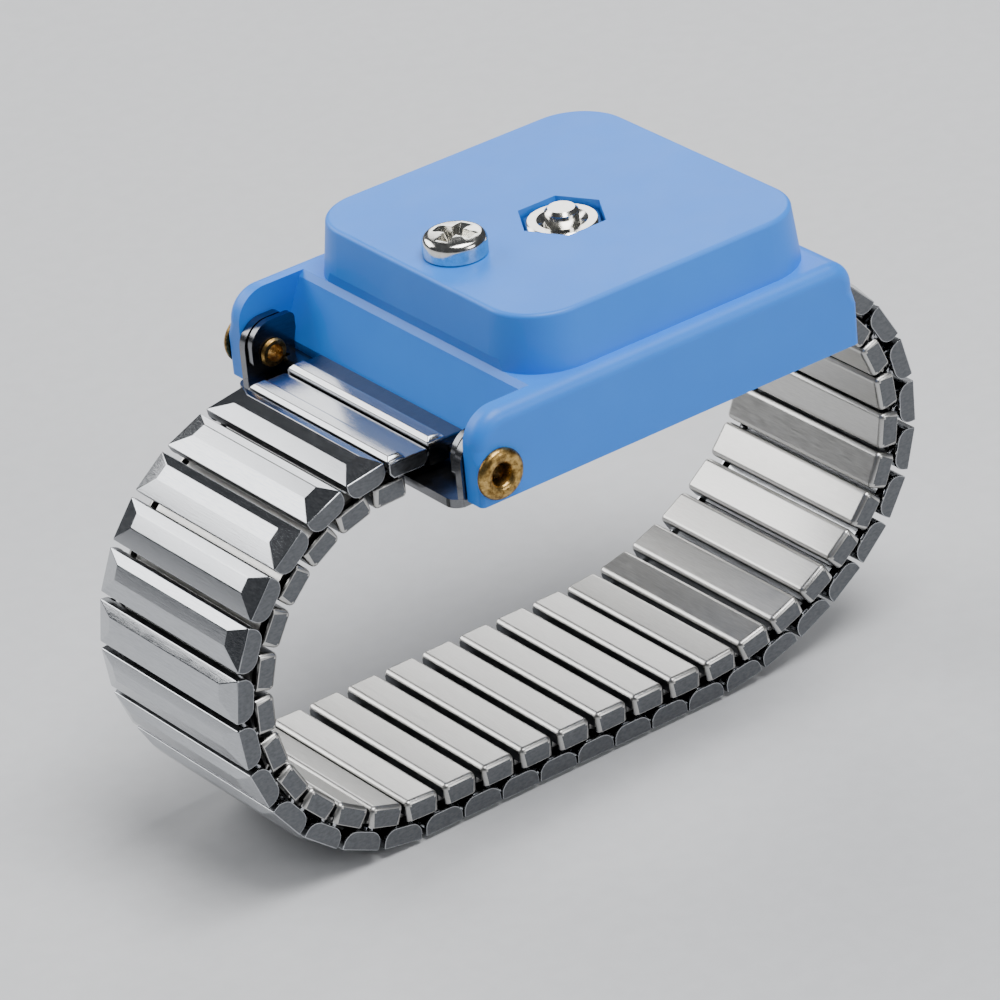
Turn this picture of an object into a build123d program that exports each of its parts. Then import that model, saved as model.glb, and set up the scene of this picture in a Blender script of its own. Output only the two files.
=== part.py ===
from build123d import *
import math
import os

# Metal expansion wrist strap with a moulded ground-terminal housing. Millimetres, +Z up.
# The strap stands on the underside of its band: the band path lies in the XZ plane,
# the band is wide along Y, and the housing sits on top. Everything is built in the
# housing's own frame (z = 0 at the housing's underside) and moved to the floor at the end.

# ---- housing -------------------------------------------------------------------
body_width = 35.5          # across the ears, Y
body_height = 8.0          # lower body, up to the ledge
body_back = 17.6           # back face, from the cap's centre
ear_front = -23.0          # front of the two ears
ear_thickness = 2.0
ear_corner = 3.0           # round at each ear's top front corner
back_corner = 2.3
body_edge = 1.2            # soft round along the outer top edges
upright_edge = 0.45        # round of the upright edges below them
upright_blend = (3.8, 5.0) # heights between which one grows into the other
cap_length = 30.9          # raised cap, at its top face, X
cap_width = 31.2           # the same, Y
cap_height = 5.15
cap_corner = 5.0
cap_draft = 6.5            # degrees
cap_edge = 0.4
wall = 1.6
top_wall = 1.5
end_wall_top = -16.3       # sloped end wall between the ears: upper edge
end_wall_foot = -18.5      # and its lower edge
end_wall_foot_z = 2.65
band_gate_height = 6.0     # opening in the back wall that the band comes out of

# ---- fasteners and the contact path ------------------------------------------------
nut_x, nut_y = -0.44, -1.27
nut_flats, nut_thickness, nut_sunk = 6.4, 2.4, 0.3
nut_pocket_flats = nut_flats + 0.6     # room around the nut
thread_d = 3.0
thread_clearance = 0.02
stud_rise = 1.1            # stud end above the nut
stud_flange_d, stud_flange_t = 5.0, 0.8
screw_x, screw_y = -11.0, -0.3
screw_head_d, screw_head_t, screw_length = 5.6, 2.1, 8.0
cross_width, cross_depth = 0.9, 1.2
insert_d, insert_length = 4.4, 5.0
boss_wall = 1.7
tag_thickness, tag_d, tag_tail = 0.5, 6.0, 2.4
resistor_d, resistor_length, lead_d = 2.4, 6.3, 0.6
resistor_y, resistor_z = 5.5, 4.0

# ---- base plate, brackets and eyelets ------------------------------------------------
plate_t = 0.8
plate_low = -0.5           # its underside stands a little below the housing
plate_front = -24.2
plate_back = 15.8
side_gap = 0.14            # between the plate's tabs and the housing's ears
tab_front, tab_back, tab_height, tab_corner = -23.3, -18.9, 5.6, 2.4
eyelet_x, eyelet_z = -21.0, 2.6
eyelet_barrel_d, eyelet_wall = 2.2, 0.3
eyelet_flange_d, eyelet_flange_t = 4.6, 0.7
eyelet_roll_d, eyelet_roll_t = 2.6, 0.35
press_clearance = 0.03
running_clearance = 0.06
bracket_t = 0.6
bracket_gap = 0.2          # bracket ear to plate tab
bracket_ear_front, bracket_ear_back, bracket_ear_height = -23.1, -18.4, 5.6
bracket_ear_foot = (-18.7, 2.7)   # its lower back corner keeps clear of the end wall
bracket_floor_gap = 1.2    # web above the base plate
pin_d = 1.5
lug_t, lug_y, lug_round = 0.8, 11.5, 1.6

# ---- band ----------------------------------------------------------------------------
links = 33
open_after = 19            # the loop is opened between this link and the next one
hinge_links = [2, 4, 6, 8, 10, 12, 14, 17, 21, 23, 25, 27, 29, 31]
pitch = 4.12
band_width = 20.0
row_gap = 0.3              # between the outer and the inner row
outer_length = 3.95        # outer link, along the band
outer_side = 1.7           # its straight side
outer_crown = 0.45         # facets above the side
outer_flat = (-1.1, 0.3)   # the middle facet, along the band
outer_bevel = 2.0          # how far the end facets run in from each end
outer_round, cavity_round = 1.2, 0.9   # rolled lower edges, outside and inside
inner_length = 3.4
inner_height = 1.9
inner_round = 0.5
outer_sheet, inner_sheet = 0.35, 0.25
end_flap = 0.3
staple_w, staple_t, staple_leg = 0.4, 0.35, 2.2
staple_inset = 0.25        # staple web inside the end flap
staple_foot, staple_head = 0.85, 0.5   # leaning staple: from its inner link's centre,
                                       # and from the next outer link's
outer_notch, inner_notch = 1.0, 0.6    # notches that the staples pass and lean through
spring_t, spring_w, spring_l, spring_bow = 0.15, 2.2, 12.0, 0.5
ridge_height = 0.45        # ridge on the first link and on the bracket's cap
ridge_length = 1.8
cap_rise = 0.3             # bracket cap's sheet above the first link's flat top
cap_fold = 0.35            # its ends, folded down
travel = 1.6               # how far each link slides when the band is stretched

# ---- band path: middle of the row gap, from the front bracket to the back bracket ------
path_start_x, path_start_z = -20.4, 1.05
front_run = 5.6
front_radius = 16.15
low_radius, low_turn = 28.15, 42.0
back_radius, back_turn = 15.15, 118.0
back_run = 1.95


def arc_length(radius, degrees):
    return radius * math.radians(degrees)


# The flat stretch under the wrist takes up what makes a whole number of links.
bottom_run = ((links + 1) * pitch - front_run - arc_length(front_radius, 180)
              - arc_length(low_radius, low_turn) - arc_length(back_radius, back_turn) - back_run)
PATH = [(front_run, 0), (arc_length(front_radius, 180), front_radius), (bottom_run, 0),
        (arc_length(low_radius, low_turn), low_radius),
        (arc_length(back_radius, back_turn), back_radius), (back_run + 10, 0)]


def path_point(s):
    """Position (x, z) and heading angle at the length s along the band."""
    x, z, angle = path_start_x, path_start_z, math.pi
    for length, radius in PATH:
        step = min(s, length)
        if radius:
            turned = angle + step / radius
            x += radius * (math.sin(turned) - math.sin(angle))
            z -= radius * (math.cos(turned) - math.cos(angle))
            angle = turned
        else:
            x += step * math.cos(angle)
            z += step * math.sin(angle)
        s -= step
        if s <= 0:
            break
    return x, z, angle


def band_plane(s):
    """Local frame: X along the band, Z out of the wrist."""
    x, z, angle = path_point(s)
    return Plane(origin=(x, 0, z), x_dir=(math.cos(angle), 0, math.sin(angle)),
                 z_dir=(math.sin(angle), 0, -math.cos(angle)))


def band_to_world(s, u, n):
    x, z, angle = path_point(s)
    return (x + u * math.cos(angle) + n * math.sin(angle),
            z + u * math.sin(angle) - n * math.cos(angle))


# ---- small helpers -----------------------------------------------------------------------
def block(x0, x1, y0, y1, z0, z1):
    return Pos((x0 + x1) / 2, (y0 + y1) / 2, (z0 + z1) / 2) * Box(x1 - x0, y1 - y0, z1 - z0)


def both_sides(y0, y1, make):
    """The same piece on +Y and, mirrored, on -Y."""
    piece = make(y0, y1)
    return [piece, piece.mirror(Plane.XZ)]


def xz_prism(points, y0, y1, rounds=None):
    """Extrude an outline in the XZ plane from y0 to y1; rounds = {corner index: radius}."""
    face = make_face(Polyline([(x, z) for x, z in points], close=True).edges())
    for index, radius in (rounds or {}).items():
        x, z = points[index]
        near = face.vertices().sort_by_distance((x, z, 0))[0]
        face = fillet(near, radius)
    solid = extrude(Plane.XZ * face, amount=y1 - y0)
    return Pos(0, y1, 0) * solid


def y_cylinder(x, z, r, y0, y1):
    return Pos(x, (y0 + y1) / 2, z) * Rot(90, 0, 0) * Cylinder(r, y1 - y0)


def z_cylinder(x, y, r, z0, z1):
    return Pos(x, y, (z0 + z1) / 2) * Cylinder(r, z1 - z0)


def hexagon(x, y, flats, z0, z1):
    corner_radius = flats / 2 / math.cos(math.pi / 6)
    return extrude(Pos(x, y, z0) * RegularPolygon(corner_radius, 6), amount=z1 - z0)


# ---- levels that pieces share -----------------------------------------------------------------
half_body = body_width / 2
ear_inside = half_body - ear_thickness
cap_top = body_height + cap_height
roof = body_height - wall
tab_out = ear_inside - side_gap
tab_in = tab_out - plate_t
bracket_out = tab_in - bracket_gap
bracket_in = bracket_out - bracket_t
nut_top = cap_top - nut_sunk
nut_seat = nut_top - nut_thickness
plate_top = plate_low + plate_t
tag_z = plate_top + stud_flange_t
cap_ceiling = cap_top - top_wall
insert_top = cap_ceiling - 0.2
insert_bottom = insert_top - insert_length
web_z = plate_top + bracket_floor_gap
cap_flat_z = path_start_z + row_gap / 2 + outer_side - 0.25 + cap_rise
cap_under_z = web_z + bracket_t


# ---- housing --------------------------------------------------------------------------------------
def make_housing():
    side = [(ear_front, 0), (ear_front, body_height), (body_back, body_height), (body_back, 0)]
    body = xz_prism(side, -half_body, half_body, {1: ear_corner, 2: back_corner})
    outer = [e for face in body.faces().filter_by(Axis.Y) for e in face.edges()
             if e.center().Z > 0.01]
    body = fillet(outer, body_edge)
    low, high = upright_blend
    middle = (ear_front + body_back) / 2
    sharp, soft = [RectangleRounded(body_back - ear_front, body_width, r)
                   for r in (upright_edge, body_edge)]
    body += extrude(Pos(middle, 0, 0) * sharp, amount=low)
    body += loft([Pos(middle, 0, low) * sharp, Pos(middle, 0, high) * soft])

    foot_grow = 2 * cap_height * math.tan(math.radians(cap_draft))
    foot = RectangleRounded(cap_length + foot_grow, cap_width + foot_grow,
                            cap_corner + foot_grow / 2)
    cap = extrude(Pos(0, 0, body_height - 0.5) * foot, amount=0.5)
    cap += extrude(Pos(0, 0, body_height) * foot, amount=cap_height, taper=cap_draft)
    cap = fillet(cap.faces().sort_by(Axis.Z)[-1].edges(), cap_edge)
    shell = body + cap

    # recess between the ears, in front of the sloped end wall
    slope = [(ear_front - 5, -1), (ear_front - 5, body_height + 1),
             (end_wall_top + 0.5, body_height + 1), (end_wall_top + 0.5, body_height),
             (end_wall_top, body_height - 0.5), (end_wall_foot, end_wall_foot_z),
             (end_wall_foot, -1)]
    shell -= xz_prism(slope, -ear_inside, ear_inside)

    # inside of the lower body, then of the cap
    cavity = [(end_wall_top + wall, roof), (end_wall_foot + wall, end_wall_foot_z),
              (end_wall_foot + wall, -1), (body_back - wall, -1), (body_back - wall, roof)]
    shell -= xz_prism(cavity, -ear_inside, ear_inside)
    inner_cap = RectangleRounded(cap_length - 2 * wall, cap_width - 2 * wall, cap_corner - wall)
    shell -= extrude(Pos(0, 0, roof - 0.1) * inner_cap, amount=cap_ceiling - roof + 0.1)

    # the end wall stops above the base plate
    shell -= block(ear_front, end_wall_foot + wall + 0.1, -ear_inside, ear_inside,
                   -1, plate_top + 0.1)
    gate = band_width / 2 + 1.0
    shell -= block(body_back - wall - 0.5, body_back + 1, -gate, gate, -1, band_gate_height)

    # bosses for the stud and for the screw's insert
    boss_floor = tag_z + tag_thickness
    shell += z_cylinder(nut_x, nut_y, nut_pocket_flats / 2 + boss_wall + 0.3,
                        boss_floor, cap_ceiling + 0.1)
    shell += z_cylinder(screw_x, screw_y, insert_d / 2 + boss_wall,
                        insert_bottom, cap_ceiling + 0.1)
    shell -= hexagon(nut_x, nut_y, nut_pocket_flats, nut_seat, cap_top + 1)
    shell -= z_cylinder(nut_x, nut_y, thread_d / 2 + 0.15, -1, cap_top)
    shell -= z_cylinder(screw_x, screw_y, insert_d / 2, -1, insert_top)
    shell -= z_cylinder(screw_x, screw_y, thread_d / 2 + 0.15, -1, cap_top + 1)

    for y0 in (-half_body - 1, ear_inside - 1):
        shell -= y_cylinder(eyelet_x, eyelet_z, eyelet_barrel_d / 2 + press_clearance,
                            y0, y0 + ear_thickness + 2)
    return shell


# ---- base plate: skin contact, with two tabs in the ears and two lugs for the back pin --------------
def make_base_plate():
    length = plate_back - plate_front
    floor = extrude(Pos((plate_back + plate_front) / 2, 0, plate_low)
                    * RectangleRounded(length, 2 * tab_out, 1.2), amount=plate_t)

    def tab(y0, y1):
        outline = [(tab_front, plate_low), (tab_front, tab_height),
                   (tab_back, tab_height), (tab_back, plate_low)]
        piece = xz_prism(outline, y0, y1, {1: tab_corner, 2: 0.8})
        return piece - y_cylinder(eyelet_x, eyelet_z, eyelet_barrel_d / 2 + press_clearance,
                                  y0 - 1, y1 + 1)

    def lug(y0, y1):
        x, z = back_pivot
        piece = block(x - lug_round, x + lug_round, y0, y1, plate_low, z)
        piece += y_cylinder(x, z, lug_round, y0, y1)
        return piece - y_cylinder(x, z, pin_d / 2 + 0.01, y0 - 1, y1 + 1)

    pieces = both_sides(tab_in, tab_out, tab) + both_sides(lug_y, lug_y + lug_t, lug)
    for piece in pieces:
        floor += piece
    return floor


# ---- fasteners ----------------------------------------------------------------------------------------
def make_stud():
    top = nut_top + stud_rise
    stud = z_cylinder(nut_x, nut_y, thread_d / 2 - thread_clearance, plate_top, top)
    stud = chamfer(stud.edges().sort_by(Axis.Z)[-1], 0.3)
    return stud + z_cylinder(nut_x, nut_y, stud_flange_d / 2, plate_top, tag_z)


def make_nut():
    nut = hexagon(nut_x, nut_y, nut_flats, nut_seat, nut_top)
    # corners turned off at the top and underneath
    reach = nut_flats / 2 / math.cos(math.pi / 6)
    turned = z_cylinder(nut_x, nut_y, reach, nut_seat, nut_top)
    turned = chamfer(turned.edges().filter_by(GeomType.CIRCLE), length=0.25, length2=0.45)
    nut &= turned
    return nut - z_cylinder(nut_x, nut_y, thread_d / 2, nut_seat - 1, nut_top + 1)


def make_screw():
    head = z_cylinder(screw_x, screw_y, screw_head_d / 2, cap_top, cap_top + screw_head_t)
    head = fillet(head.edges().sort_by(Axis.Z)[-1], 0.9)
    top = cap_top + screw_head_t
    for turn in (20, 110):
        slot = Box(0.62 * screw_head_d, cross_width, 2 * cross_depth)
        head -= Pos(screw_x, screw_y, top) * Rot(0, 0, turn) * slot
    shank = z_cylinder(screw_x, screw_y, thread_d / 2 - thread_clearance,
                       cap_top - screw_length, cap_top + 0.2)
    shank = chamfer(shank.edges().sort_by(Axis.Z)[0], 0.4)
    return head + shank


def make_insert():
    body = z_cylinder(screw_x, screw_y, insert_d / 2, insert_bottom, insert_top)
    middle = (insert_bottom + insert_top) / 2
    groove = z_cylinder(screw_x, screw_y, insert_d, middle - 0.4, middle + 0.4)
    groove -= z_cylinder(screw_x, screw_y, insert_d / 2 - 0.3, middle - 1, middle + 1)
    body -= groove
    return body - z_cylinder(screw_x, screw_y, thread_d / 2, insert_bottom - 1, insert_top + 1)


def make_tag(x, y, z, reach):
    """Ring terminal with a tail that reaches to +Y."""
    ring = z_cylinder(x, y, tag_d / 2, z, z + tag_thickness)
    tail = block(x - tag_tail / 2, x + tag_tail / 2, y, reach + 1.0, z, z + tag_thickness)
    tail = fillet(tail.edges().filter_by(Axis.Z).group_by(Axis.Y)[-1], 0.6)
    ring += tail
    ring -= z_cylinder(x, y, thread_d / 2 + 0.1, z - 1, z + 1)
    return ring - z_cylinder(x, reach, lead_d / 2 + 0.02, z - 1, z + 1)


def make_tags():
    low = make_tag(nut_x, nut_y, tag_z, resistor_y)
    high = make_tag(screw_x, screw_y, insert_bottom - tag_thickness, resistor_y)
    return Compound([low, high])


def make_resistor():
    middle = (screw_x + nut_x) / 2
    body = Pos(middle, resistor_y, resistor_z) * Rot(0, 90, 0) * Cylinder(resistor_d / 2,
                                                                          resistor_length)
    waist = Pos(middle, resistor_y, resistor_z) * Rot(0, 90, 0) * Cylinder(
        resistor_d, resistor_length - 3.0)
    waist -= Pos(middle, resistor_y, resistor_z) * Rot(0, 90, 0) * Cylinder(
        resistor_d / 2 - 0.2, resistor_length)
    body = body - waist
    body = fillet(body.edges().filter_by(GeomType.CIRCLE).group_by(Axis.X)[0], 0.4)
    body = fillet(body.edges().filter_by(GeomType.CIRCLE).group_by(Axis.X)[-1], 0.4)
    for x, z in ((screw_x, insert_bottom), (nut_x, tag_z)):
        line = FilletPolyline((middle, resistor_y, resistor_z), (x, resistor_y, resistor_z),
                              (x, resistor_y, z), radius=0.9)
        section = Plane(origin=line @ 0, z_dir=line % 0) * Circle(lead_d / 2)
        body += sweep(section, path=line)
    return body


def make_eyelet(y0, y1):
    """Tubular rivet on +Y: outer head at y1, barrel, rolled inner lip at y0."""
    r, bore = eyelet_barrel_d / 2, eyelet_barrel_d / 2 - eyelet_wall
    flange, roll = eyelet_flange_d / 2, eyelet_roll_d / 2
    out, lip = y1, y0
    outline = [(bore, lip - eyelet_roll_t), (roll - 0.15, lip - eyelet_roll_t),
               (roll, lip - 0.1), (roll, lip), (r, lip), (r, out), (flange, out),
               (flange, out + 0.15), (flange - 0.45, out + eyelet_flange_t),
               (bore + 0.45, out + eyelet_flange_t), (bore, out + 0.1)]
    face = make_face(Polyline([(a, b, 0) for a, b in outline], close=True).edges())
    return Pos(eyelet_x, 0, eyelet_z) * revolve(face, Axis.Y)


# ---- brackets -------------------------------------------------------------------------------------------
half_band = band_width / 2
tongue_half = spring_l / 2 + 0.6
tongue_n = (0.6, 1.0)
tongue_reach = pitch + 1.1
cap_front_x = path_start_x - outer_length / 2
cap_back_x = path_start_x + 1.65


def make_front_bracket():
    def ear(y0, y1):
        outline = [(bracket_ear_front, web_z), (bracket_ear_front, bracket_ear_height),
                   (bracket_ear_back, bracket_ear_height), (bracket_ear_back, 4.0),
                   bracket_ear_foot, (bracket_ear_foot[0], web_z)]
        return xz_prism(outline, y0, y1, {1: 2.2, 2: 0.6, 5: 0.5, 0: 0.8})

    inside = half_band - cap_fold - 0.05
    web = block(cap_front_x + 0.4, cap_back_x, -inside, inside, web_z, web_z + bracket_t)
    for side in (-1, 1):
        y0, y1 = sorted((side * (half_band - 0.5), side * bracket_out))
        web += block(eyelet_x + 0.6, cap_back_x, y0, y1, web_z, web_z + bracket_t)
        y0, y1 = sorted((side * (bracket_in - 1.2), side * bracket_out))
        web += block(eyelet_x + 0.6, bracket_ear_foot[0], y0, y1, web_z, web_z + bracket_t)
    z0 = path_start_z + tongue_n[0]
    tongue = block(path_start_x - tongue_reach, cap_front_x + 1.2, -tongue_half, tongue_half,
                   z0, path_start_z + tongue_n[1])
    web += tongue
    for piece in both_sides(bracket_in, bracket_out, ear):
        web += piece
    # the web clears the eyelet's rolled lip, and the ear turns on its barrel
    for r, reach in ((eyelet_roll_d / 2 + 0.1, bracket_in),
                     (eyelet_barrel_d / 2 + running_clearance, bracket_out + 1)):
        for piece in both_sides(bracket_in - 0.7, reach,
                                lambda y0, y1: y_cylinder(eyelet_x, eyelet_z, r, y0, y1)):
            web -= piece
    return web - block(cap_front_x, cap_back_x + 1, -half_band - 0.1, half_band + 0.1,
                       cap_under_z, cap_under_z + 1)


def make_ridge(u_front, u_back, n0, n1, half):
    ridge = block(min(u_front, u_back), max(u_front, u_back), -half, half, n0, n1)
    return fillet(ridge.edges().group_by(Axis.Z)[-1], 0.3)


def make_front_cap():
    plate = block(cap_front_x, cap_back_x, -half_band, half_band, cap_under_z, cap_flat_z)
    ridge = make_ridge(cap_front_x, cap_front_x + ridge_length, cap_under_z,
                       cap_flat_z + cap_rise, half_band - 0.15)
    for side in (-1, 1):
        y0, y1 = sorted((side * half_band, side * (half_band - cap_fold)))
        plate += block(cap_front_x, eyelet_x + 0.55, y0, y1, plate_top + 0.65, cap_under_z + 0.1)
    return plate + ridge


back_s = (links + 1) * pitch
back_pivot = band_to_world(back_s, 2.2, 0.35)


def make_back_bracket():
    """Knuckle on the hidden pin and a tongue into the last link, in the band's frame."""
    web = block(-outer_length / 2 + 0.2, 2.2, -tongue_half, tongue_half, *tongue_n)
    web += block(-tongue_reach, 0, -tongue_half, tongue_half, *tongue_n)
    web += block(-1.2, 2.2, -half_band, half_band, *tongue_n)
    knuckle = y_cylinder(2.2, 0.35, pin_d / 2 + 0.65, -half_band, half_band)
    web += knuckle
    web -= y_cylinder(2.2, 0.35, pin_d / 2 + running_clearance, -half_band - 1, half_band + 1)
    return band_plane(back_s).location * web


def make_back_pin():
    x, z = back_pivot
    end = lug_y + lug_t
    pin = y_cylinder(x, z, pin_d / 2, -end, end)
    for y0 in (-end - 0.4, end):
        pin += y_cylinder(x, z, pin_d / 2 + 0.4, y0, y0 + 0.4)
    return pin


# ---- links, each in its own frame: X along the band, Z out of the wrist ---------------------------------
outer_base = row_gap / 2
outer_edge = outer_base + outer_side
outer_top = outer_edge + outer_crown
cavity_half = outer_length / 2 - outer_sheet
cavity_low, cavity_high = outer_base + outer_sheet - 0.05, outer_edge - 0.1
inner_top = -row_gap / 2
inner_bottom = inner_top - inner_height
inner_cavity_half = inner_length / 2 - inner_sheet
web_out = half_band - end_flap - staple_inset
web_in = web_out - staple_t
staple_room = (web_in - 0.25, half_band - end_flap)
upper_leg_z = outer_base + 0.95
lower_leg_z = inner_top - 0.95


def hollow(half, z0, z1, low_round=0):
    room = block(-half, half, -half_band + end_flap, half_band - end_flap, z0, z1)
    if low_round:
        room = fillet(room.edges().filter_by(Axis.Y).group_by(Axis.Z)[0], low_round)
    return room


def staple_slots(half, z0, z1):
    low, high = staple_room
    return block(-half, half, low, high, z0, z1) + block(-half, half, -high, -low, z0, z1)


def tongue_slot(side):
    x = side * outer_length / 2
    return block(x - 0.95, x + 0.95, -tongue_half - 0.3, tongue_half + 0.3,
                 cavity_low, outer_edge - 0.35)


def make_outer_shell():
    """Folded cap: three facets along the band, hipped at both ends."""
    h = outer_length / 2
    across = [(-h, outer_base), (-h, outer_edge), (outer_flat[0], outer_top),
              (outer_flat[1], outer_top), (h, outer_edge), (h, outer_base)]
    shell = xz_prism(across, -half_band, half_band, {0: outer_round, 5: outer_round})
    w = half_band
    along = [(-w, outer_base), (-w, outer_edge), (-w + outer_bevel, outer_top),
             (w - outer_bevel, outer_top), (w, outer_edge), (w, outer_base)]
    face = make_face(Polyline([(0, y, z) for y, z in along], close=True).edges())
    shell &= extrude(face, amount=h, both=True, dir=(1, 0, 0))
    shell -= hollow(cavity_half, cavity_low, cavity_high, cavity_round)
    return shell - staple_slots(h + 0.1, outer_base - 0.1, outer_base + outer_notch)


def make_first_shell():
    """First link: flat top with a ridge on its far side, open towards the bracket's tongue."""
    h = outer_length / 2
    flat = outer_edge - 0.25
    shell = block(-h, h, -half_band, half_band, outer_base, flat)
    shell = fillet(shell.edges().filter_by(Axis.Y).group_by(Axis.Z)[0], outer_round)
    shell += make_ridge(h - ridge_length, h, flat - 0.3, flat + ridge_height, half_band - 0.15)
    shell -= hollow(cavity_half, cavity_low, flat - 0.2, cavity_round)
    shell -= staple_slots(h + 0.1, outer_base - 0.1, outer_base + outer_notch)
    return shell - tongue_slot(-1)


def make_inner_shell():
    h = inner_length / 2
    shell = block(-h, h, -half_band, half_band, inner_bottom, inner_top)
    shell = fillet(shell.faces().sort_by(Axis.Z)[0].edges(), inner_round)
    shell -= hollow(inner_cavity_half, inner_bottom + inner_sheet, inner_top - inner_sheet)
    return shell - staple_slots(h + 0.1, inner_top - inner_notch, inner_top + 0.1)


def make_spring(z0, up):
    """Leaf spring: a thin strip bowed along the link."""
    half, rise = spring_l / 2, spring_bow * up
    low, high = z0, z0 + spring_t * up
    curve = ThreePointArc((0, -half, low), (0, 0, low + rise), (0, half, low))
    top = ThreePointArc((0, half, high), (0, 0, high + rise), (0, -half, high))
    ends = [Line((0, half, low), (0, half, high)), Line((0, -half, high), (0, -half, low))]
    face = make_face([curve, ends[0], top, ends[1]])
    return extrude(face, amount=spring_w / 2, both=True, dir=(1, 0, 0))


def make_staple(x_low, x_high):
    """U of flat wire on +Y: a leg in the inner link, a web, a leg in the outer link."""
    w, t = staple_w / 2, staple_t / 2
    z_low, z_high = lower_leg_z, upper_leg_z
    outline = [(x_low - w, z_low - t), (x_low + w, z_low - t), (x_low + w, z_low + t),
               (x_high + w, z_high - t), (x_high + w, z_high + t), (x_high - w, z_high + t),
               (x_high - w, z_high - t), (x_low - w, z_low + t)]
    web = xz_prism(outline, web_in, web_out)
    web += block(x_low - w, x_low + w, web_in - staple_leg, web_out, z_low - t, z_low + t)
    web += block(x_high - w, x_high + w, web_in - staple_leg, web_out, z_high - t, z_high + t)
    return web


def pair(piece):
    return [piece, piece.mirror(Plane.XZ)]


outer_shell = make_outer_shell()
first_shell = make_first_shell()
last_shell = outer_shell - tongue_slot(1)
inner_shell = make_inner_shell()
outer_spring = make_spring(cavity_low + 0.15, 1)
inner_spring = make_spring(inner_bottom + inner_sheet + 0.15, 1)
fixed_staples = pair(make_staple(0, 0))
# A sliding staple leans forward over the next outer link, which leaves that link its travel.
sliding_staples = pair(make_staple(staple_foot, pitch / 2 + staple_head))


def place(s, solids):
    location = band_plane(s).location
    return [location * solid for solid in solids]


def inner_solids(k):
    """Inner link k: between outer links k and k + 1, with the staples that the next one slides on."""
    solids = [inner_shell, inner_spring]
    if k != open_after:
        solids = solids + sliding_staples
    return place((k + 0.5) * pitch, solids)


def outer_solids(k):
    if k == 1:
        solids = place(k * pitch, [first_shell])
    elif k == links:
        return place(k * pitch, [last_shell])
    else:
        solids = place(k * pitch, [outer_shell, outer_spring])
    return solids + place((k + 0.25) * pitch, fixed_staples)


def to_compound(shapes):
    solids = [solid for shape in shapes for solid in shape.solids()]
    return solids[0] if len(solids) == 1 else Compound(solids)


# ---- nodes ---------------------------------------------------------------------------------------------
nodes = {
    "housing": [make_housing()],
    "base_plate": [make_base_plate()],
    "ground_stud": [make_stud()],
    "stud_nut": [make_nut()],
    "discharge_screw": [make_screw()],
    "screw_insert": [make_insert()],
    "solder_tags": [make_tags()],
    "one_megohm_resistor": [make_resistor()],
    "eyelets": pair(make_eyelet(bracket_in - 0.06, half_body)),
    "back_pin": [make_back_pin()],
    "front_bracket": [make_front_bracket()],
    "front_bracket_cap": [make_front_cap()],
    "back_bracket": [make_back_bracket()],
}
for k in range(1, links + 1):
    solids = outer_solids(k)
    if k in hinge_links:
        nodes[f"inner_link_{k:02d}"] = inner_solids(k)
    elif k < links:
        solids = solids + inner_solids(k)
    nodes[f"band_link_{k:02d}"] = solids

# ---- stand the strap on the floor: origin at the bottom centre of its box ------------------------------
whole = {name: to_compound(shapes) for name, shapes in nodes.items()}
boxes = [shape.bounding_box() for shape in whole.values()]
shift = (-(min(b.min.X for b in boxes) + max(b.max.X for b in boxes)) / 2, 0,
         -min(b.min.Z for b in boxes))

os.makedirs("parts", exist_ok=True)
for name, shape in whole.items():
    export_step(Pos(*shift) * shape, f"parts/{name}.step")
print(len(whole), "nodes, moved by", tuple(round(v, 4) for v in shift))
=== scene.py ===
import math

import bmesh
import bpy
from mathutils import Matrix, Vector


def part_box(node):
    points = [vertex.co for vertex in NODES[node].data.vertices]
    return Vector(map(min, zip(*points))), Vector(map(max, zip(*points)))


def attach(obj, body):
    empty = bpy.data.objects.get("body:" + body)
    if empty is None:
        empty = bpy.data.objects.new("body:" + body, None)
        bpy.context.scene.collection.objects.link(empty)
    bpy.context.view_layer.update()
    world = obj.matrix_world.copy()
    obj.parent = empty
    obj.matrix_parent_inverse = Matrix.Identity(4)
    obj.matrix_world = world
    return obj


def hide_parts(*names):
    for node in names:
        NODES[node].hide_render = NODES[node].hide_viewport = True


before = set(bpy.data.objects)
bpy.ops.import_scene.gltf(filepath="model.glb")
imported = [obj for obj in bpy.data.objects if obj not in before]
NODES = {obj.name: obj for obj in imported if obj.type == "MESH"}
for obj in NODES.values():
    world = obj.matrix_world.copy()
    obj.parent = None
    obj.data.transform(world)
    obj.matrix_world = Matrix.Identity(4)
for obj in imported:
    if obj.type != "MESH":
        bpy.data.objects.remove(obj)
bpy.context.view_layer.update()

MM = 0.001

# ---- the band's sizes in millimetres, the same as the CAD model's ----------------------------
LINKS, OPEN_AFTER, PITCH = 33, 19, 4.12
HINGED = [2, 4, 6, 8, 10, 12, 14, 17, 21, 23, 25, 27, 29, 31]  # skin links on bodies of their own
BAND_HALF = 10.0
ROW_GAP = 0.3                   # between the outer row and the skin row
SHEET, FLAP = 0.3, 0.3          # thickness of the walls, and of the flaps at both ends
END_ROUND = 1.2                 # lower corners of a D-shaped flap
OUTER_HALF, OUTER_SIDE, OUTER_CROWN = 1.975, 1.7, 0.45
CROWN_BACK, CROWN_FRONT, HIP = -1.1, 0.3, 2.0
INNER_HALF, INNER_HEIGHT, INNER_ROUND = 1.7, 1.9, 0.5
STAPLE_W, STAPLE_T, STAPLE_LEG = 0.4, 0.35, 2.2
WEB_OUT = BAND_HALF - FLAP - 0.25
WEB_IN = WEB_OUT - STAPLE_T
LEG_OUTER, LEG_INNER = 1.10, -1.10
STAPLE_FOOT, STAPLE_HEAD = 0.85, 0.5
FIXED_AT, SKIN_AT = 0.25, 0.5   # pitches from a link to its fixed staples and its skin link
SPRING_LIFT = 0.15              # a leaf spring's ends above the floor of its link
RIDGE_LENGTH, RIDGE_INSET, RIDGE_SUNK = 1.8, 0.15, 0.3
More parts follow.
